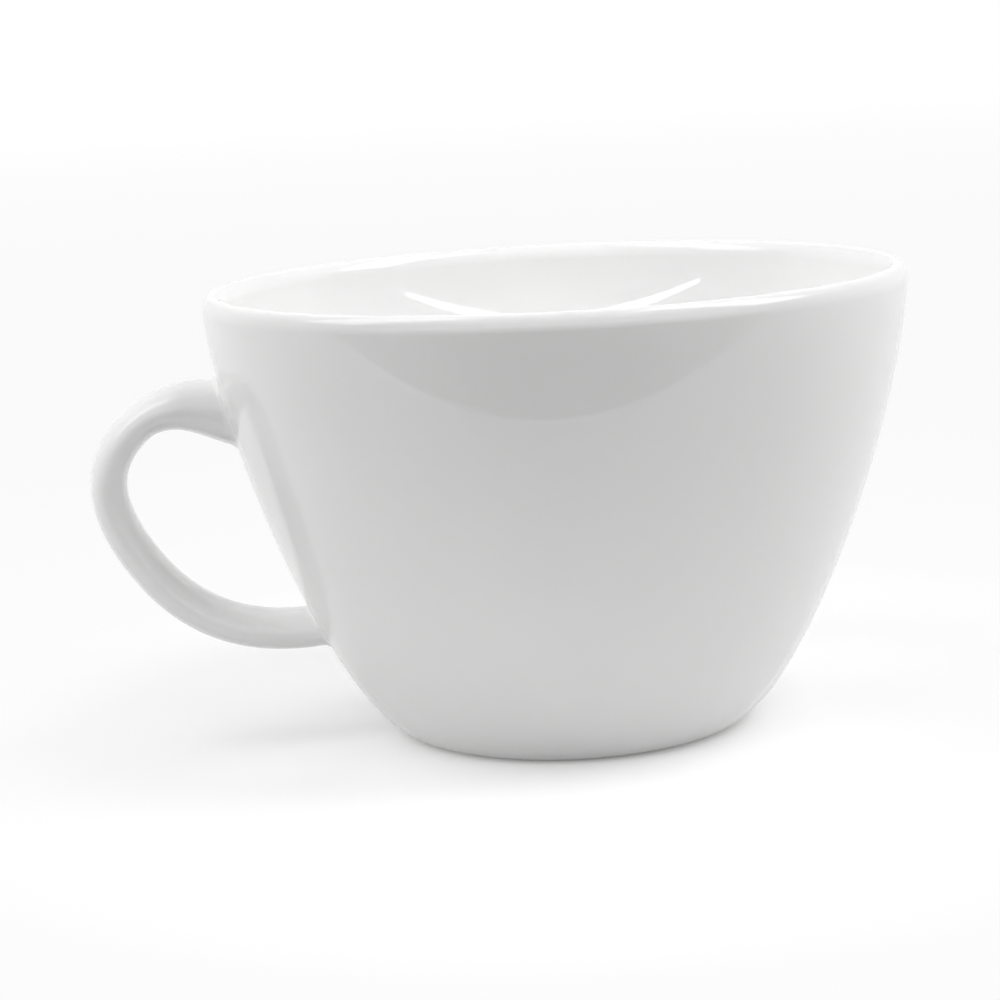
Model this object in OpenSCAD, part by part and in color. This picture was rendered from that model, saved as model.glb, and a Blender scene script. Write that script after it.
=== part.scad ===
// Glazed porcelain tea cup with one ear-shaped handle.
// Millimetres, +Z up. The origin is the centre of the foot on the table, and the handle points to -X.
// Sizes are over the glaze unless a comment says otherwise.

/* [Bowl] */
// Diameter across the rim
rim_d = 96; // [80:1:116]
// Height from the table to the top of the lip
cup_h = 62; // [51:0.5:75]
// Diameter at the table, where the heel starts to rise
foot_d = 48.6; // [40:0.2:58.4]
// Angle of the heel above the table, in degrees
heel_rise = 27; // [22:1:33]
// Length of the heel's pull on the wall curve
heel_run = 10; // [8:0.5:12]
// Lean of the wall at the rim, in degrees from upright
rim_lean = 4; // [0:0.5:8]
// Length of the rim's pull on the wall curve
rim_run = 19.5; // [16:0.5:24]
// Thickness of the wall under the lip
lip_t = 3; // [2.5:0.1:3.6]
// Height of the lip's rounding
lip_h = 2.3; // [1.9:0.1:2.8]
// Thickness of the wall at the heel
heel_t = 4.2; // [3.4:0.1:5.2]
// Height of the inside floor above the table
floor_z = 6; // [5:0.25:7.5]
// Height above the floor at which the wall starts to turn into it
well_rise = 14; // [11:0.5:17]

/* [Foot] */
// Width of the bare ring that stands on the table
foot_ring_w = 3; // [2:0.25:4]
// Bevel at the outer edge of the bare ring
foot_bevel = 0.3; // [0.25:0.05:0.4]
// Depth of the recess inside the ring
recess_h = 2; // [1.5:0.25:2.5]
// How far the recess narrows from the table to its ceiling
recess_draft = 1; // [0.5:0.1:1.5]

/* [Glaze] */
// Thickness of the glaze film
glaze_t = 0.25; // [0.2:0.01:0.3]
// Height of the glaze line above the table
glaze_line = 0.3; // [0.25:0.05:0.6]
// Bare margin between the foot ring and the glaze in the recess
base_margin = 0.8; // [0.5:0.1:1.5]

/* [Handle] */
// Depth of the upper joint's centre below the top of the lip
upper_drop = 14; // [11.6:0.1:16.8]
// Height of the lower joint's centre above the table
lower_z = 15.3; // [12.7:0.1:18.4]
// Distance of the crown bend's corner from the wall at the upper joint
crown_out = 9.9; // [8.2:0.1:11.9]
// Height of the crown bend's corner above the upper joint
crown_rise = 0.9; // [0:0.1:1.4]
// Distance of the back bend's corner from the wall at the upper joint
back_out = 18.8; // [15.6:0.1:22.6]
// Depth of the back bend's corner below the upper joint
back_drop = 12.8; // [10.6:0.1:15.4]
// Distance of the sole bend's corner from the wall at the lower joint
sole_out = 14.3; // [11.9:0.1:17.2]
// Depth of the sole bend's corner below the lower joint
sole_drop = 1.2; // [0:0.1:2]
// Thickness of the strap
handle_t = 5; // [4.1:0.1:6]
// Width of the strap
handle_w = 11.6; // [9.6:0.1:14]
// Squareness of the strap's section, where 2 is an ellipse
squareness = 2.4; // [2:0.1:4]
// Extra thickness on the underside of the upper arm at the wall
root_swell = 4.2; // [3.5:0.1:5.1]
// Length over which that extra thickness runs out
root_len = 11.6; // [9.6:0.1:14]
// Radius of the fillet over the top and round the sides of the upper joint
top_fillet = 0.9; // [0.7:0.05:1.1]
// Radius of the fillet under the upper joint and round the lower one
small_fillet = 0.6; // [0.5:0.05:0.75]
// Thickness of the slip between the handle and the wall
slip_t = 0.6; // [0.5:0.05:0.8]

/* [Hidden] */

biscuit_colour = [0.90, 0.88, 0.84];
slip_colour = [0.86, 0.84, 0.80];
glaze_colour = [0.94, 0.94, 0.93];

// Steps along each curve
wall_steps = 20;
lip_steps = 12;
well_steps = 8;
crown_steps = 16;
back_steps = 12;
sole_steps = 16;
fillet_steps = 6;
sides = 24;
search_steps = 30;
round_fn = 128;

// Length of handle that is sunk into the wall before it is trimmed to the wall's curve
root_depth = 1.6;
root_rings = 2;
// Length of handle over which its section turns to lie along the wall
tilt_len = 7;
// How fast the extra thickness under the upper arm runs out, where 1 is a straight wedge
root_power = 1.6;
// Height at which a fillet is cut off, short of running out on the wall
fillet_toe = 0.05;
// Length of handle, from the wall, that reaches clear of the slip
end_len = 2.5;
// Half-step used to measure a direction along a curve
nudge = 0.01;

function mix(a, b, t) = a + (b - a) * t;
function unit(v) = v / norm(v);
function reverse(list) = [for (i = [len(list) - 1 : -1 : 0]) list[i]];
function bezier2(p, t) = mix(mix(p[0], p[1], t), mix(p[1], p[2], t), t);
function slope2(p, t) = mix(p[1] - p[0], p[2] - p[1], t);
function bezier3(p, t) = mix(bezier2([p[0], p[1], p[2]], t), bezier2([p[1], p[2], p[3]], t), t);
function slope3(p, t) = bezier2([p[1], p[2], p[3]], t) - bezier2([p[0], p[1], p[2]], t);

// Wall curve, as [radius, height], from the heel at t = 0 to the rim at t = 1
rim_out = [cos(rim_lean), -sin(rim_lean)];
rim_up = [sin(rim_lean), cos(rim_lean)];
lip_reach = [
    norm([lip_t / 2 * rim_out.x, lip_h * rim_up.x]),
    norm([lip_t / 2 * rim_out.y, lip_h * rim_up.y])
];
lip_centre = [rim_d / 2, cup_h] - lip_reach;
rim_point = lip_centre + lip_t / 2 * rim_out;
heel_point = [foot_d / 2, 0];
wall_curve = [
    heel_point,
    heel_point + heel_run * [cos(heel_rise), sin(heel_rise)],
    rim_point - rim_run * rim_up,
    rim_point
];

function wall_up(t) = unit(slope3(wall_curve, t));
function wall_out(t) = [wall_up(t).y, -wall_up(t).x];
function wall_t(t) = mix(heel_t, lip_t, t);

// Points a given depth below the finished outside and the finished inside of the wall
function outside(t, depth) = bezier3(wall_curve, t) - depth * wall_out(t);
function inside(t, depth) = bezier3(wall_curve, t) - (wall_t(t) - depth) * wall_out(t);

// Place on the wall curve where the outside, or the inside, reaches a height
function outside_at(z, low = 0, high = 1, n = search_steps) =
    let (t = (low + high) / 2)
    n == 0 ? t
    : outside(t, 0).y < z ? outside_at(z, t, high, n - 1)
    : outside_at(z, low, t, n - 1);
function inside_at(z, low = 0, high = 1, n = search_steps) =
    let (t = (low + high) / 2)
    n == 0 ? t
    : inside(t, 0).y < z ? inside_at(z, t, high, n - 1)
    : inside_at(z, low, t, n - 1);

glaze_start = outside_at(glaze_line);
well_start = inside_at(floor_z + well_rise);
outside_steps = [for (i = [0 : wall_steps]) mix(glaze_start, 1, i / wall_steps)];
inside_steps = [for (i = [0 : wall_steps]) mix(1, well_start, i / wall_steps)];

// Curve from the wall into the flat floor, tangent to both
function well_curve(depth) =
    let (start = inside(well_start, depth))
    let (up = unit(inside(well_start + nudge, depth) - inside(well_start - nudge, depth)))
    let (corner = start - up * (start.y - floor_z + depth) / up.y)
    [start, corner, corner - [norm(corner - start), 0]];

// Outline a given depth below the glazed surface, from the glaze line over the lip to the axis
function outside_skin(depth) = [for (t = outside_steps) outside(t, depth)];
function lip_skin(depth) = [
    for (i = [1 : lip_steps - 1])
        let (a = 180 * i / lip_steps)
        let (away = unit([cos(a) / (lip_t / 2), sin(a) / lip_h]))
        lip_centre
        + (lip_t / 2 * cos(a) - depth * away.x) * rim_out
        + (lip_h * sin(a) - depth * away.y) * rim_up
];
function inside_skin(depth) = [for (t = inside_steps) inside(t, depth)];
function well_skin(depth) = [for (i = [1 : well_steps]) bezier2(well_curve(depth), i / well_steps)];
function skin(depth) = concat(
    outside_skin(depth),
    lip_skin(depth),
    inside_skin(depth),
    well_skin(depth),
    [[0, floor_z - depth]]
);

// Foot ring and its recess
ring_outer_r = foot_d / 2 - foot_bevel;
ring_inner_r = ring_outer_r - foot_ring_w;
recess_r = ring_inner_r - recess_draft;

// Handle centreline in the plane of the handle, as [distance from the axis, height].
// It leaves the wall at the upper joint, rounds off three corners and comes back at the lower joint.
upper_t = outside_at(cup_h - upper_drop);
lower_t = outside_at(lower_z);
upper_point = outside(upper_t, 0);
lower_point = outside(lower_t, 0);
crown = upper_point + [crown_out, crown_rise];
back = upper_point + [back_out, -back_drop];
sole = lower_point + [sole_out, -sole_drop];
crown_leg = [upper_point, crown, (crown + back) / 2];
back_leg = [(crown + back) / 2, back, (back + sole) / 2];
sole_leg = [(back + sole) / 2, sole, lower_point];
upper_dir = unit(crown - upper_point);
lower_dir = unit(lower_point - sole);

// Places along a leg that starts at the wall, as shares of the leg: close together in the fillet, then even
function end_places(leg, radius, steps) =
    let (first_angle = acos(1 - fillet_toe / radius))
    let (ends = [
        for (i = [0 : fillet_steps])
            let (a = mix(first_angle, 90, i / fillet_steps))
            (radius * (1 - cos(a)) - fillet_toe) / (2 * norm(leg[1] - leg[0]))
    ])
    concat(ends, [for (i = [1 : steps]) mix(ends[fillet_steps], 1, i / steps)]);
crown_places = end_places(crown_leg, top_fillet, crown_steps);
back_places = [for (i = [1 : back_steps - 1]) i / back_steps];
sole_places = [for (t = reverse(end_places(reverse(sole_leg), small_fillet, sole_steps))) 1 - t];

// Stations along the centreline, each [point, direction, distance from upper joint, from lower joint].
// A distance is negative inside the wall.
function leg_stations(leg, places) = [
    for (t = places)
        let (p = bezier2(leg, t))
        [p, unit(slope2(leg, t)), norm(p - upper_point), norm(p - lower_point)]
];
span = norm(upper_point - lower_point);
upper_root = [
    for (i = [root_rings : -1 : 1])
        let (d = root_depth * i / root_rings)
        [upper_point - d * upper_dir, upper_dir, -d, span]
];
lower_root = [
    for (i = [1 : root_rings])
        let (d = root_depth * i / root_rings)
        [lower_point + d * lower_dir, lower_dir, span, -d]
];
stations = concat(
    upper_root,
    leg_stations(crown_leg, crown_places),
    leg_stations(back_leg, back_places),
    leg_stations(sole_leg, sole_places),
    lower_root
);

// Share of a feature that is left at a distance from the wall, fading to nothing at its length
function fade(d, length, power = 2) = pow(max(0, 1 - max(0, d) / length), power);

// How far the surface at a given depth stands out at a distance from the wall, because of a fillet there
function fillet(d, depth, radius) =
    let (left = radius - fillet_toe - max(0, d))
    left < 0 ? -depth : radius - sqrt(pow(radius + depth, 2) - left * left);

// How far the wall lies from its tangent plane at a joint, h along the wall and y across it
function wall_r(z) = outside(outside_at(z), 0).x;
function bow(point, along, h, y) =
    let (flat = point + h * along)
    sqrt(pow(wall_r(flat.y), 2) - y * y) - flat.x;

// Direction across the strap towards the finger gap: square to the centreline, along the wall at its ends
function across(dir) = [dir.y, -dir.x];
upper_along = -wall_up(upper_t);
lower_along = wall_up(lower_t);
function gap_dir(s) =
    let (near_upper = mix(across(s[1]), upper_along, fade(s[2], tilt_len)))
    unit(mix(near_upper, lower_along, fade(s[3], tilt_len)));

// One ring of the strap's section, a given depth below its finished surface, bowed to the wall at both ends
function power(v) = sign(v) * pow(abs(v), 2 / squareness);
function ring(s, depth) =
    let (dir = gap_dir(s))
    let (extra = root_swell * fade(s[2], root_len, root_power))
    let (half = handle_t / 2 / (dir * across(s[1])) + extra / 2)
    let (upper_share = fade(s[2], tilt_len))
    let (lower_share = fade(s[3], tilt_len))
    [
        for (j = [0 : sides - 1])
            let (a = 360 * j / sides)
            let (upper_fillet = mix(top_fillet, small_fillet, max(0, cos(a))))
            let (swell = max(fillet(s[2], depth, upper_fillet), fillet(s[3], depth, small_fillet)))
            let (h = extra / 2 + power(cos(a)) * (swell + half))
            let (y = power(sin(a)) * (swell + handle_w / 2))
            let (upper_bow = upper_share > 0 ? upper_share * bow(upper_point, upper_along, h, y) : 0)
            let (lower_bow = lower_share > 0 ? lower_share * bow(lower_point, lower_along, h, y) : 0)
            [-(s[0].x + h * dir.x + upper_bow + lower_bow), y, s[0].y + h * dir.y]
    ];
function rings(list, depth) = [for (s = list) ring(s, depth)];

// Faces of a tube made of rings, starting at a given point number
function tube_faces(count, first = 0) = [
    for (r = [0 : count - 2], j = [0 : sides - 1])
        let (a = first + r * sides + j)
        let (b = first + r * sides + (j + 1) % sides)
        each [[a, b, a + sides], [b, b + sides, a + sides]]
];
function cap_faces(first) = [for (j = [1 : sides - 2]) [first, first + j, first + j + 1]];
function band_faces(from, to) = [
    for (j = [0 : sides - 1])
        let (k = (j + 1) % sides)
        each [[from + j, to + j, from + k], [from + k, to + j, to + k]]
];
function flipped(faces) = [for (f = faces) reverse(f)];
function points_of(list) = [for (one = list) each one];

// Closed tube through a list of rings
module solid_tube(list) {
    last = (len(list) - 1) * sides;
    polyhedron(
        points = points_of(list),
        faces = concat(tube_faces(len(list)), flipped(cap_faces(0)), cap_faces(last))
    );
}

// Film between an outer and an inner tube that have the same number of rings
module film_tube(outer, inner) {
    shift = len(outer) * sides;
    last = (len(outer) - 1) * sides;
    polyhedron(
        points = concat(points_of(outer), points_of(inner)),
        faces = concat(
            tube_faces(len(outer)),
            flipped(tube_faces(len(inner), shift)),
            band_faces(0, shift),
            flipped(band_faces(last, last + shift))
        )
    );
}

// Everything inside the outside surface of the wall at a given depth
module wall_block(depth) {
    outline = outside_skin(depth);
    rotate_extrude($fn = round_fn)
        polygon(concat([[0, outline[0].y]], outline, [[0, outline[wall_steps].y]]));
}

// Layer of slip thickness on the bare outside of the wall
module slip_layer() {
    rotate_extrude($fn = round_fn)
        polygon(concat(reverse(outside_skin(glaze_t)), outside_skin(glaze_t - slip_t)));
}

// The ends of the unglazed handle, from inside the wall to clear of the slip
upper_end = [for (s = stations) if (s[2] < end_len) s];
lower_end = [for (s = stations) if (s[3] < end_len) s];

module bowl() {
    color(biscuit_colour)
    rotate_extrude($fn = round_fn)
        polygon(concat(
            [[0, recess_h], [recess_r, recess_h], [ring_inner_r, 0], [ring_outer_r, 0]],
            [outside(0, glaze_t)],
            skin(glaze_t)
        ));
}

module handle() {
    color(biscuit_colour)
    difference() {
        solid_tube(rings(stations, glaze_t));
        wall_block(glaze_t - slip_t);
    }
}

module slip_joint(end) {
    color(slip_colour)
    intersection() {
        slip_layer();
        solid_tube(rings(end, glaze_t));
    }
}

module upper_slip_joint() slip_joint(upper_end);

module lower_slip_joint() slip_joint(lower_end);

module bowl_glaze() {
    color(glaze_colour)
    difference() {
        rotate_extrude($fn = round_fn)
            polygon(concat(skin(0), reverse(skin(glaze_t))));
        solid_tube(rings(upper_end, glaze_t));
        solid_tube(rings(lower_end, glaze_t));
    }
}

module handle_glaze() {
    color(glaze_colour)
    difference() {
        film_tube(rings(stations, 0), rings(stations, glaze_t));
        wall_block(0);
    }
}

module base_glaze() {
    color(glaze_colour)
    translate([0, 0, recess_h - glaze_t])
        cylinder(r = recess_r - base_margin, h = glaze_t, $fn = round_fn);
}

bowl();
handle();
upper_slip_joint();
lower_slip_joint();
bowl_glaze();
handle_glaze();
base_glaze();
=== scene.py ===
import math

import bmesh
import bpy
import numpy as np
from mathutils import Matrix, Vector


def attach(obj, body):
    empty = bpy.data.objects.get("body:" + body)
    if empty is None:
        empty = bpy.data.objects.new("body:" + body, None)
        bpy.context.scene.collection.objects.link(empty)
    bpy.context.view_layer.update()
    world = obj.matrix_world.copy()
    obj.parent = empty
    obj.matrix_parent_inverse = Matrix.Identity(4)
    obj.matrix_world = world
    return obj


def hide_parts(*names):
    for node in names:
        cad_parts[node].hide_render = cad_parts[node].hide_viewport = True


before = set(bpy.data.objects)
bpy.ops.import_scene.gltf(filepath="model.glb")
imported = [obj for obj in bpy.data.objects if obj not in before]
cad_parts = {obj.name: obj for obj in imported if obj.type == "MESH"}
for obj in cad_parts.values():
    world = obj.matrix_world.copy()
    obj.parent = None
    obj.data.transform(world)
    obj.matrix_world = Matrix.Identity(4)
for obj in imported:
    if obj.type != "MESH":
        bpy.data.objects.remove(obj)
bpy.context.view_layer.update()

MM = 0.001

# Sizes of the cup in millimetres, over the glaze
RIM_D, CUP_H, FOOT_D = 96.0, 62.0, 48.6
HEEL_RISE, HEEL_RUN = math.radians(27), 10.0
RIM_LEAN, RIM_RUN = math.radians(4), 19.5
LIP_T, LIP_H, HEEL_T = 3.0, 2.3, 4.2
FLOOR_Z, WELL_RISE = 6.0, 14.0
GLAZE_T, GLAZE_LINE = 0.25, 0.3
UPPER_DROP, LOWER_Z = 14.0, 15.3
CROWN_OUT, CROWN_RISE = 9.9, 0.9
BACK_OUT, BACK_DROP = 18.8, 12.8
SOLE_OUT, SOLE_DROP = 14.3, 1.2
HANDLE_T, HANDLE_W, SQUARENESS = 5.0, 11.6, 2.4
ROOT_SWELL, ROOT_LEN, ROOT_POWER = 4.2, 11.6, 1.6
TOP_FILLET, SMALL_FILLET = 0.9, 0.6
TILT_LEN = 7.0

# The films stay this far under the CAD's surface, so that they never stand out of its box
INSET = 0.016
# The handle's ends sink a little deeper into the wall, over a short stretch
END_SINK, END_SINK_LEN = 1.5 * INSET, 0.3

# Points round the bowl and round the strap
AROUND, SIDES = 208, 72
# Rows of points on each stretch of the bowl's outline
OUTSIDE_ROWS, LIP_ROWS, INSIDE_ROWS, WELL_ROWS, FLOOR_ROWS = 81, 45, 61, 31, 9
# Rings on the strap and in the fillets at its ends
STRAP_RINGS, TOP_FILLET_RINGS, SMALL_FILLET_RINGS = 150, 25, 13
# Points of the fine curves that places are looked up on
WALL_POINTS, LEG_POINTS = 4001, 1500
# Steps either side of a place that give its direction, as a share of the wall's curve and in millimetres
WALL_STEP, LEG_STEP = 0.01, 0.02
# Edges that turn by more than this are shaded as sharp
SHARP_ANGLE = math.radians(50)


def unit(vectors):
    vectors = np.asarray(vectors, float)
    return vectors / np.linalg.norm(vectors, axis=-1, keepdims=True)


def quarter_turn(direction):
    """Direction turned clockwise by 90 degrees."""
    return np.stack([direction[..., 1], -direction[..., 0]], -1)


def lengths(points):
    """Length along a line of points, at each point."""
    return np.concatenate([[0], np.cumsum(np.linalg.norm(np.diff(points, axis=0), axis=1))])


def bezier(points, t):
    """Point of a Bezier curve of any degree at t, a number or an array."""
    t = np.asarray(t, float)[..., None]
    row = [np.asarray(p, float) for p in points]
    while len(row) > 1:
        row = [a + (b - a) * t for a, b in zip(row, row[1:])]
    return row[0]


def slope(points, t):
    """Direction of a Bezier curve at t."""
    return unit(bezier([b - a for a, b in zip(points, points[1:])], t))


# Wall of the bowl as (radius, height), from the heel at t = 0 to the rim at t = 1
lip_axes = np.array([LIP_T / 2, LIP_H])
rim_out = np.array([math.cos(RIM_LEAN), -math.sin(RIM_LEAN)])
rim_up = np.array([math.sin(RIM_LEAN), math.cos(RIM_LEAN)])
lip_centre = np.array([RIM_D / 2, CUP_H]) - np.hypot(LIP_T / 2 * rim_out, LIP_H * rim_up)
rim_point = lip_centre + LIP_T / 2 * rim_out
heel_point = np.array([FOOT_D / 2, 0.0])
wall_curve = [
    heel_point,
    heel_point + HEEL_RUN * np.array([math.cos(HEEL_RISE), math.sin(HEEL_RISE)]),
    rim_point - RIM_RUN * rim_up,
    rim_point,
]


def wall_up(t):
    return slope(wall_curve, t)


def wall_out(t):
    return quarter_turn(wall_up(t))


def outside(t, depth=0.0):
    return bezier(wall_curve, t) - depth * wall_out(t)


def inside(t, depth=0.0):
    t = np.asarray(t, float)
    thick = HEEL_T + (LIP_T - HEEL_T) * t - depth
    return bezier(wall_curve, t) - thick[..., None] * wall_out(t)


fine_t = np.linspace(0, 1, WALL_POINTS)
fine_outside = outside(fine_t)
fine_inside = inside(fine_t)


def outside_at(z):
    """Place on the wall curve where the outside reaches a height."""
    return float(np.interp(z, fine_outside[:, 1], fine_t))


def wall_radius(z):
    return np.interp(z, fine_outside[:, 1], fine_outside[:, 0])


# Places on the wall curve of the rows outside, and of the point inside where the well starts
outside_t = np.linspace(outside_at(GLAZE_LINE), 1, OUTSIDE_ROWS)
lowest = fine_inside[:, 1].argmin()
well_t = float(np.interp(FLOOR_Z + WELL_RISE, fine_inside[lowest:, 1], fine_t[lowest:]))


def skin(depth):
    """Outline a given depth below the glazed surface, from the glaze line over the lip to the axis."""
    wall = outside(outside_t, depth)
    turn = np.linspace(0, math.pi, LIP_ROWS)[1:-1]
    circle = np.stack([np.cos(turn), np.sin(turn)], -1)
    lip = lip_axes * circle - depth * unit(circle / lip_axes)
    lip = lip_centre + lip @ np.stack([rim_out, rim_up])
    into = inside(np.linspace(1, well_t, INSIDE_ROWS), depth)
    start = into[-1]
    up = unit(inside(well_t + WALL_STEP, depth) - inside(well_t - WALL_STEP, depth))
    corner = start - up * (start[1] - FLOOR_Z + depth) / up[1]
    end = corner - np.array([np.linalg.norm(corner - start), 0])
    well = bezier([start, corner, end], np.linspace(0, 1, WELL_ROWS)[1:])
    radius = np.linspace(end[0], 0, FLOOR_ROWS)[1:]
    flat = np.stack([radius, np.full(len(radius), FLOOR_Z - depth)], -1)
    return np.concatenate([wall, lip, into, well, flat])


# Centreline of the handle in its plane, as (distance from the axis, height)
upper_t, lower_t = outside_at(CUP_H - UPPER_DROP), outside_at(LOWER_Z)
upper_point, lower_point = outside(upper_t), outside(lower_t)
crown = upper_point + np.array([CROWN_OUT, CROWN_RISE])
back = upper_point + np.array([BACK_OUT, -BACK_DROP])
sole = lower_point + np.array([SOLE_OUT, -SOLE_DROP])
legs = [
    [upper_point, crown, (crown + back) / 2],
    [(crown + back) / 2, back, (back + sole) / 2],
    [(back + sole) / 2, sole, lower_point],
]
# Directions along the wall towards the finger gap, and along the centreline, at the two joints
upper_along, lower_along = -wall_up(upper_t), wall_up(lower_t)
upper_dir, lower_dir = unit(crown - upper_point), unit(lower_point - sole)


def centreline():
    """Points and directions along the handle, close together in the fillets at its two ends."""
    t = np.linspace(0, 1, LEG_POINTS)
    fine = np.concatenate([bezier(leg, t) for leg in legs])
    run = lengths(fine)
    first, last = [
        radius * (1 - np.cos(np.linspace(0, math.pi / 2, count)))
        for radius, count in ((TOP_FILLET, TOP_FILLET_RINGS), (SMALL_FILLET, SMALL_FILLET_RINGS))
    ]
    middle = np.linspace(first[-1], run[-1] - last[-1], STRAP_RINGS)[1:-1]
    places = np.concatenate([first, middle, run[-1] - last[::-1]])

    def at(place):
        return np.stack([np.interp(place, run, fine[:, axis]) for axis in (0, 1)], -1)

    return at(places), unit(at(places + LEG_STEP) - at(places - LEG_STEP))


def fade(distance, length, power=2.0):
    """Share of a feature that is left at a distance from the wall."""
    return np.maximum(0, 1 - np.maximum(0, distance) / length) ** power


def fillet(distance, depth, radius):
    """How far the surface at a depth stands out at a distance from the wall, because of a fillet there."""
    left = radius - max(0.0, distance)
    curve = radius - np.sqrt((radius + depth) ** 2 - np.maximum(left, 0) ** 2)
    return np.where(left < 0, -depth, curve)


def stretch(direction, along):
    """How much longer a section is along the wall than square to the strap."""
    return 1 / float(along @ quarter_turn(direction))


def bow(joint, along, reach, aside):
    """How far the wall lies from its tangent plane at a joint, at points along the wall and aside."""
    flat = joint + reach[:, None] * along
    return np.sqrt(np.maximum(wall_radius(flat[:, 1]) ** 2 - aside**2, 0)) - flat[:, 0]


def squared_off(share):
    """Cosine or sine of a circle, changed to that of the strap's squared-off section."""
    return np.sign(share) * np.abs(share) ** (2 / SQUARENESS)


def handle_rings(depth):
    """Rings of points round the strap, a given depth below its surface, bowed to the wall at both ends."""
    angle = 2 * math.pi * np.arange(SIDES) / SIDES
    thick_share, wide_share = squared_off(np.cos(angle)), squared_off(np.sin(angle))
    upper_fillet = TOP_FILLET + (SMALL_FILLET - TOP_FILLET) * np.maximum(0, np.cos(angle))
    rings = []
    for point, direction in zip(*centreline()):
        to_upper = np.linalg.norm(point - upper_point)
        to_lower = np.linalg.norm(point - lower_point)
        near_upper, near_lower = fade(to_upper, TILT_LEN), fade(to_lower, TILT_LEN)
        gap = quarter_turn(direction)
        gap = gap + (upper_along - gap) * near_upper
        gap = unit(gap + (lower_along - gap) * near_lower)
        swell = np.maximum(fillet(to_upper, depth, upper_fillet), fillet(to_lower, depth, SMALL_FILLET))
        root = ROOT_SWELL * fade(to_upper, ROOT_LEN, ROOT_POWER)
        half = HANDLE_T / 2 * stretch(direction, gap) + root / 2
        reach = root / 2 + thick_share * (swell + half)
        aside = wide_share * (swell + HANDLE_W / 2)
        flat = point + reach[:, None] * gap
        bend = bow(upper_point, upper_along, reach, aside) * near_upper
        bend = bend + bow(lower_point, lower_along, reach, aside) * near_lower
        sink = END_SINK * (fade(to_upper, END_SINK_LEN) + fade(to_lower, END_SINK_LEN))
        rings.append(np.stack([-(flat[:, 0] + bend - sink), aside, flat[:, 1]], -1))
    return np.array(rings)


def new_piece(name, points, faces, replaced):
    """Piece that rides on the cup in place of a node, from points in millimetres, with its faces outward."""
    mesh = bpy.data.meshes.new(name)
    mesh.from_pydata([tuple(p) for p in np.asarray(points) * MM], [], faces)
    mesh.validate()
    shell = bmesh.new()
    shell.from_mesh(mesh)
    bmesh.ops.recalc_face_normals(shell, faces=shell.faces)
    shell.to_mesh(mesh)
    shell.free()
    mesh.shade_smooth()
    mesh.set_sharp_from_angle(angle=SHARP_ANGLE)
    piece = bpy.data.objects.new(name, mesh)
    bpy.context.scene.collection.objects.link(piece)
    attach(piece, "root")
    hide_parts(replaced)
    return piece


def quad(row, place, around):
    """Corners of the face between a row of points and the next, and between a place and the next."""
    following = (place + 1) % around
    low, high = row * around, (row + 1) * around
    return low + place, low + following, high + following, high + place


def under_handle(outline, theta):
    """Which points of the bowl's film, by row and by angle, lie under an end of the handle."""
    under = np.zeros((len(outline) - 1, AROUND), bool)
    wall = outline[:OUTSIDE_ROWS]
    run = lengths(wall)
    joints = (
        (upper_t, -1, HANDLE_T / 2 * stretch(upper_dir, upper_along), ROOT_SWELL / 2),
        (lower_t, 1, HANDLE_T / 2 * stretch(lower_dir, lower_along), 0.0),
    )
    for joint_t, sign, half, root in joints:
        reach = (sign * (run - np.interp(joint_t, outside_t, run)) - root) / (half + root)
        aside = wall[:, :1] * np.sin(theta) / (HANDLE_W / 2)
        section = np.abs(reach[:, None]) ** SQUARENESS + np.abs(aside) ** SQUARENESS < 1
        under[:OUTSIDE_ROWS] |= section & (np.cos(theta) > 0)
    return under


def bowl_film():
    """Closed film over the bowl, with an opening under each end of the handle."""
    outer, inner = skin(INSET), skin(GLAZE_T)
    rows = len(outer) - 1
    theta = 2 * math.pi * np.arange(AROUND) / AROUND
    ring = np.stack([-np.cos(theta), np.sin(theta)], -1)

    def layer(outline):
        """Ring of points for each point of an outline but the last, which is on the axis."""
        level = outline[:-1, 0, None, None] * ring[None]
        height = np.broadcast_to(outline[:-1, 1, None, None], (rows, AROUND, 1))
        return np.concatenate([level, height], -1).reshape(-1, 3)

    # The film's lower edge is rounded off
    half = np.linalg.norm((outer[0] - inner[0]) / 2)
    tip = (outer[0] + inner[0]) / 2 - half * wall_up(outside_t[0])
    edge = np.concatenate([tip[0] * ring, np.full((AROUND, 1), tip[1])], -1)
    poles = [[0, 0, FLOOR_Z - INSET], [0, 0, FLOOR_Z - GLAZE_T]]
    points = np.concatenate([layer(outer), layer(inner), edge, poles])
    shift = rows * AROUND
    low_edge = 2 * shift
    outer_pole, inner_pole = low_edge + AROUND, low_edge + AROUND + 1
    under = under_handle(outer, theta)

    def cut(i, j):
        """Whether the face from row i and place j lies under the handle, and is left out."""
        k = (j + 1) % AROUND
        return i >= 0 and under[i, j] and under[i, k] and under[i + 1, j] and under[i + 1, k]

    faces = []
    for i in range(rows - 1):
        for j in range(AROUND):
            corners = quad(i, j, AROUND)
            if not cut(i, j):
                faces.append(corners[::-1])
                faces.append(tuple(c + shift for c in corners))
                continue
            beside = ((i - 1, j), (i, (j + 1) % AROUND), (i + 1, j), (i, (j - 1) % AROUND))
            for a, b, place in zip(corners, corners[1:] + corners[:1], beside):
                if not cut(*place):
                    faces.append((a, b, b + shift, a + shift))
    last = (rows - 1) * AROUND
    for j in range(AROUND):
        k = (j + 1) % AROUND
        faces.append((last + k, last + j, outer_pole))
        faces.append((last + shift + j, last + shift + k, inner_pole))
        faces.append((j, k, low_edge + k, low_edge + j))
        faces.append((low_edge + j, low_edge + k, shift + k, shift + j))
    return new_piece("bowl_glaze_film", points, faces, "bowl_glaze")


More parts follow.
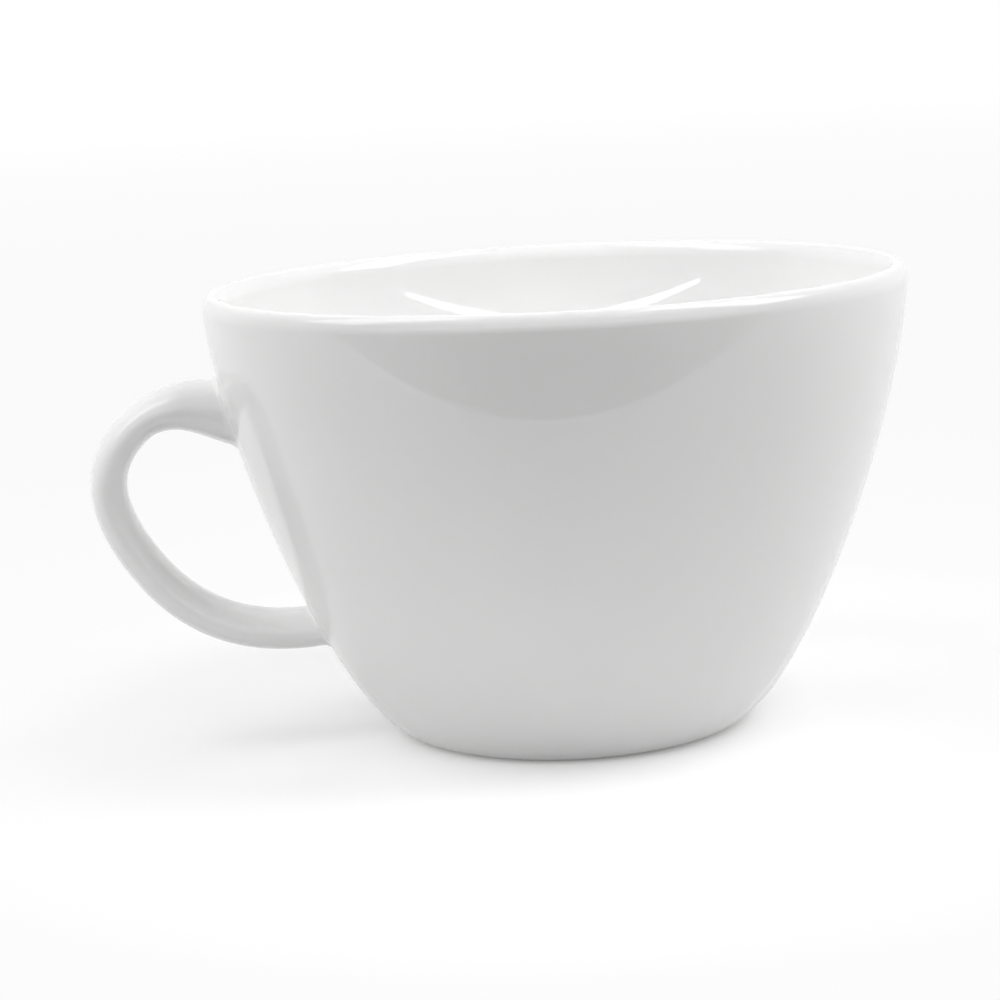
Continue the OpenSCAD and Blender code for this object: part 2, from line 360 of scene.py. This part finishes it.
def handle_film():
    """Closed film over the handle, which flows onto the wall at both ends."""
    outer, inner = handle_rings(INSET), handle_rings(GLAZE_T)
    count = len(outer)
    points = np.concatenate([outer.reshape(-1, 3), inner.reshape(-1, 3)])
    shift = count * SIDES
    faces = []
    for i in range(count - 1):
        for j in range(SIDES):
            corners = quad(i, j, SIDES)
            faces.append(corners)
            faces.append(tuple(c + shift for c in corners[::-1]))
    last = (count - 1) * SIDES
    for j in range(SIDES):
        k = (j + 1) % SIDES
        faces.append((k, j, j + shift, k + shift))
        faces.append((last + j, last + k, last + k + shift, last + j + shift))
    return new_piece("handle_glaze_film", points, faces, "handle_glaze")


bowl_piece = bowl_film()
handle_piece = handle_film()


class Nodes:
    """Short way to write the node tree of a material or a world."""

    def __init__(self, owner, output):
        owner.use_nodes = True
        self.owner = owner
        self.tree = owner.node_tree
        self.tree.nodes.clear()
        self.output = self.add(output)

    def add(self, kind, links=None, **values):
        node = self.tree.nodes.new(kind)
        for key, value in values.items():
            if key in node.inputs:
                node.inputs[key].default_value = value
            else:
                setattr(node, key, value)
        for key, source in (links or {}).items():
            self.tree.links.new(source, node.inputs[key])
        return node

    def object_place(self):
        return self.add("ShaderNodeTexCoord").outputs["Object"]

    def noise(self, place, scale, detail, rough=0.5):
        values = {"Scale": scale, "Detail": detail, "Roughness": rough}
        return self.add("ShaderNodeTexNoise", {"Vector": place}, **values).outputs["Fac"]

    def ramp(self, source, stops):
        node = self.add("ShaderNodeValToRGB", {"Fac": source})
        elements = node.color_ramp.elements
        stops = [(place, (*colour, 1)) for place, colour in stops]
        elements[0].position, elements[0].color = stops[0]
        elements[1].position, elements[1].color = stops[-1]
        for place, colour in stops[1:-1]:
            elements.new(place).color = colour
        return node.outputs["Color"]

    def range(self, source, span, result=(0.0, 1.0)):
        keys = ("From Min", "From Max", "To Min", "To Max")
        values = dict(zip(keys, (*span, *result)))
        return self.add("ShaderNodeMapRange", {"Value": source}, **values).outputs["Result"]

    def bump(self, height, strength, distance, under=None):
        links = {"Height": height}
        if under is not None:
            links["Normal"] = under
        return self.add("ShaderNodeBump", links, Strength=strength, Distance=distance).outputs["Normal"]

    def larger(self, first, second):
        return self.add("ShaderNodeMath", {0: first, 1: second}, operation="MAXIMUM").outputs[0]

    def mix(self, share, first, second):
        return self.add("ShaderNodeMixShader", {0: share, 1: first, 2: second}).outputs[0]

    def finish(self, shader):
        self.tree.links.new(shader, self.output.inputs["Surface"])
        return self.owner


def material_nodes(name):
    return Nodes(bpy.data.materials.new(name), "ShaderNodeOutputMaterial")


# Values between which a noise texture mostly lies, and the refractive index of glaze and porcelain
NOISE_LOW, NOISE_HIGH = 0.3, 0.7
CERAMIC_IOR = 1.5


def ceramic(n, colour, rough, normal):
    links = {"Base Color": colour, "Roughness": rough, "Normal": normal}
    shader = n.add("ShaderNodeBsdfPrincipled", links, IOR=CERAMIC_IOR)
    return n.finish(shader.outputs["BSDF"])


def glaze_material():
    """Glossy white glaze, with faint clouds of tone, a slow ripple and a fine unevenness of the gloss."""
    n = material_nodes("white_glaze")
    place = n.object_place()
    broad = n.noise(place, scale=38.0, detail=3.0, rough=0.45)
    colour = n.ramp(broad, [(NOISE_LOW, (0.870, 0.872, 0.868)), (NOISE_HIGH, (0.892, 0.892, 0.890))])
    fine = n.noise(place, scale=420.0, detail=2.0)
    rough = n.range(fine, (NOISE_LOW, NOISE_HIGH), (0.012, 0.028))
    ripple = n.noise(place, scale=95.0, detail=1.0)
    normal = n.bump(ripple, strength=0.04, distance=0.0004)
    normal = n.bump(fine, strength=0.03, distance=0.00006, under=normal)
    return ceramic(n, colour, rough, normal)


def biscuit_material(name, dark, light):
    """Bare fired clay, cloudy between two tones and finely grained."""
    n = material_nodes(name)
    place = n.object_place()
    broad = n.noise(place, scale=160.0, detail=4.0, rough=0.6)
    colour = n.ramp(broad, [(NOISE_LOW, dark), (NOISE_HIGH, light)])
    grain = n.noise(place, scale=3200.0, detail=3.0, rough=0.6)
    rough = n.range(grain, (NOISE_LOW, NOISE_HIGH), (0.72, 0.86))
    normal = n.bump(grain, strength=0.35, distance=0.00008)
    return ceramic(n, colour, rough, normal)


glaze = glaze_material()
biscuit = biscuit_material("bare_porcelain", (0.80, 0.77, 0.72), (0.86, 0.84, 0.79))
slip = biscuit_material("fired_slip", (0.76, 0.73, 0.68), (0.82, 0.80, 0.75))


def paint(piece, material):
    piece.data.materials.clear()
    piece.data.materials.append(material)


for piece in (bowl_piece, handle_piece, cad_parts["base_glaze"]):
    paint(piece, glaze)
for node in ("bowl", "handle"):
    paint(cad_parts[node], biscuit)
for node in ("upper_slip_joint", "lower_slip_joint"):
    paint(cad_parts[node], slip)

# Camera: the photograph's viewpoint, found by fitting the cup's outline. The handle's plane is turned
# 8 degrees towards it. Distances are in metres and angles in radians.
TURN = math.radians(-8)
CAM_BACK, CAM_UP = 0.32946, 0.09393
YAW, PITCH, ROLL = -0.026757, 0.189348, -0.052539
# Focal length and width of the picture in pixels, and width of the sensor in millimetres
FOCAL_PX, PICTURE_PX, SENSOR_W = 2406.16, 1000, 36.0
CLIP_NEAR, CLIP_FAR = 0.01, 50

to_object = Matrix.Rotation(TURN, 4, "Z")


def camera_pose():
    """Place and turn of the camera, in axes that look along +Y at the cup."""
    cos_yaw, sin_yaw = math.cos(YAW), math.sin(YAW)
    cos_pitch, sin_pitch = math.cos(PITCH), math.sin(PITCH)
    cos_roll, sin_roll = math.cos(ROLL), math.sin(ROLL)
    ahead = Vector((sin_yaw * cos_pitch, cos_yaw * cos_pitch, -sin_pitch))
    level = Vector((cos_yaw, -sin_yaw, 0))
    upright = Vector((sin_yaw * sin_pitch, cos_yaw * sin_pitch, cos_pitch))
    right = cos_roll * level + sin_roll * upright
    up = cos_roll * upright - sin_roll * level
    pose = Matrix((right, up, -ahead)).transposed().to_4x4()
    pose.translation = Vector((0, -CAM_BACK, CAM_UP))
    return pose


camera = bpy.data.objects.new("camera", bpy.data.cameras.new("camera"))
camera.data.sensor_width = SENSOR_W
camera.data.lens = FOCAL_PX / PICTURE_PX * SENSOR_W
camera.data.clip_start, camera.data.clip_end = CLIP_NEAR, CLIP_FAR
camera.matrix_world = to_object @ camera_pose()
bpy.context.scene.collection.objects.link(camera)
bpy.context.scene.camera = camera

# White floor in two sheets. They meet on a slightly slanting line, a little in front of the picture's
# lower edge. The glaze mirrors the sheet under the cup. The one in front is there for other views only.
FRONT, SLANT = -0.1245, 0.03
FLOOR_DROP, FLOOR_REACH, FLOOR_BACK = -0.0002, 3.0, 4.0


def floor_sheet(name, far_y):
    ends = [(-FLOOR_REACH, FRONT + FLOOR_REACH * SLANT), (FLOOR_REACH, FRONT - FLOOR_REACH * SLANT)]
    ends += [(FLOOR_REACH, far_y), (-FLOOR_REACH, far_y)]
    mesh = bpy.data.meshes.new(name)
    mesh.from_pydata([(x, y, FLOOR_DROP) for x, y in ends], [], [(0, 1, 2, 3)])
    sheet = bpy.data.objects.new(name, mesh)
    sheet.matrix_world = to_object
    bpy.context.scene.collection.objects.link(sheet)
    return sheet


floor = floor_sheet("floor", FLOOR_BACK)
floor_front = floor_sheet("floor_front", -FLOOR_REACH)
floor_front.visible_diffuse = floor_front.visible_glossy = False

# Grey of the paper that lights the cup from below, and grey and glow of the floor that shows its shadow
PAPER, SHADED, GLOW = 0.71, 0.75, 0.24
# Distances from the cup between which the shaded floor gives way to the open floor
SHADE_ENDS = (0.045, 0.10)
# Painted shade on the open floor: its grey levels at shares of a reach from the cup, a pale grey pool round
# the cup that brightens to white far off
PAINTED_SHADE_REACH = 2.5
PAINTED_FLOOR_SHADE = ((0.03, 0.98), (0.10, 0.955), (0.36, 0.955), (1.0, 1.0))
WHITE = (1, 1, 1, 1)


def grey(level):
    return level, level, level, 1


def floor_material():
    """Grey paper to diffuse rays; to the eye and in reflections, a white floor with the cup's shadow close
    by and painted shade further out, a pale grey pool round the cup that brightens to white far off.
    """
    n = material_nodes("white_floor")
    paper = n.add("ShaderNodeBsdfDiffuse", Color=grey(PAPER)).outputs[0]
    shaded = n.add("ShaderNodeBsdfDiffuse", Color=grey(SHADED)).outputs[0]
    glow = n.add("ShaderNodeEmission", Color=WHITE, Strength=GLOW).outputs[0]
    near = n.add("ShaderNodeAddShader", {0: shaded, 1: glow}).outputs[0]
    distance = n.add("ShaderNodeVectorMath", {0: n.object_place()}, operation="LENGTH").outputs["Value"]
    # Painted shade: the open floor's grey is set by distance from the cup and stands in for a soft shadow
    # round it
    painted_shade = n.ramp(n.range(distance, (0.0, PAINTED_SHADE_REACH)), [(p, (v, v, v)) for p, v in PAINTED_FLOOR_SHADE])
    painted_pool = n.add("ShaderNodeEmission", {"Color": painted_shade}, Strength=1.0).outputs[0]
    shown = n.mix(n.range(distance, SHADE_ENDS), near, painted_pool)
    rays = n.add("ShaderNodeLightPath").outputs
    seen = n.larger(rays["Is Camera Ray"], rays["Is Glossy Ray"])
    seen = n.larger(seen, rays["Is Transmission Ray"])
    return n.finish(n.mix(seen, paper, shown))


white_floor = floor_material()
for sheet in (floor, floor_front):
    paint(sheet, white_floor)

# Strength of the soft light from all round, and what reflections show below the horizon
AMBIENT = 0.10
BELOW_COLOUR = (0.10, 0.095, 0.085, 1)
# Heights of a ray's direction between which that gives way to white
HORIZON = (-0.10, -0.02)


def studio_world():
    """White to the eye and in reflections above the horizon, dim below it, and a weak soft light."""
    n = Nodes(bpy.data.worlds.new("studio"), "ShaderNodeOutputWorld")
    ambient = n.add("ShaderNodeBackground", Color=WHITE, Strength=AMBIENT).outputs[0]
    white = n.add("ShaderNodeBackground", Color=WHITE, Strength=1.0).outputs[0]
    below = n.add("ShaderNodeBackground", Color=BELOW_COLOUR, Strength=1.0).outputs[0]
    direction = n.add("ShaderNodeTexCoord").outputs["Generated"]
    height = n.add("ShaderNodeSeparateXYZ", {"Vector": direction}).outputs["Z"]
    mirrored = n.mix(n.range(height, HORIZON), below, white)
    rays = n.add("ShaderNodeLightPath").outputs
    mirroring = n.larger(rays["Is Glossy Ray"], rays["Is Transmission Ray"])
    soft = n.mix(mirroring, ambient, mirrored)
    return n.finish(n.mix(rays["Is Camera Ray"], soft, white))


bpy.context.scene.world = studio_world()

# Lamps: name, place, width and height, and radiance. Places are in the same axes as the camera's pose.
TOP_LAMPS = (
    ("top_left", (-0.6, -0.1, 0.8), (0.4, 0.8), 3.0),
    ("top_right", (0.6, -0.1, 0.8), (0.4, 0.8), 5.1),
)
# Lamps that the glaze doesn't mirror
SIDE_LAMPS = (
    ("front_high", (0.0, -0.8, 0.75), (1.0, 0.4), 0.8),
    ("left_back", (-0.7, 0.6, 0.5), (0.6, 0.6), 3.0),
    ("right_back", (0.7, 0.6, 0.5), (0.6, 0.6), 2.3),
    ("left_front", (-0.7, -0.6, 0.55), (0.5, 0.5), 3.6),
    ("right_front", (0.7, -0.6, 0.55), (0.5, 0.5), 2.4),
)
# A strip that the glaze only mirrors
FRONT_STRIP = ("front_strip", (0.0, -0.52, 0.232), (1.7, 0.015), 7.0)
LAMP_AIM, STRIP_AIM = (0, 0, 0.03), (0, 0, 0.05)


def soft_box(name, place, size, radiance, aim=LAMP_AIM):
    """Rectangular area lamp at a place, aimed at a point."""
    lamp = bpy.data.lights.new(name, "AREA")
    lamp.shape = "RECTANGLE"
    lamp.size, lamp.size_y = size
    lamp.energy = radiance * math.pi * size[0] * size[1]
    item = bpy.data.objects.new(name, lamp)
    facing = (Vector(place) - Vector(aim)).to_track_quat("Z", "Y")
    item.matrix_world = to_object @ (Matrix.Translation(place) @ facing.to_matrix().to_4x4())
    bpy.context.scene.collection.objects.link(item)
    return item


for lamp in TOP_LAMPS:
    soft_box(*lamp)
for lamp in SIDE_LAMPS:
    soft_box(*lamp).visible_glossy = False
soft_box(*FRONT_STRIP, aim=STRIP_AIM).visible_diffuse = False

bpy.context.scene.view_settings.view_transform = "Standard"
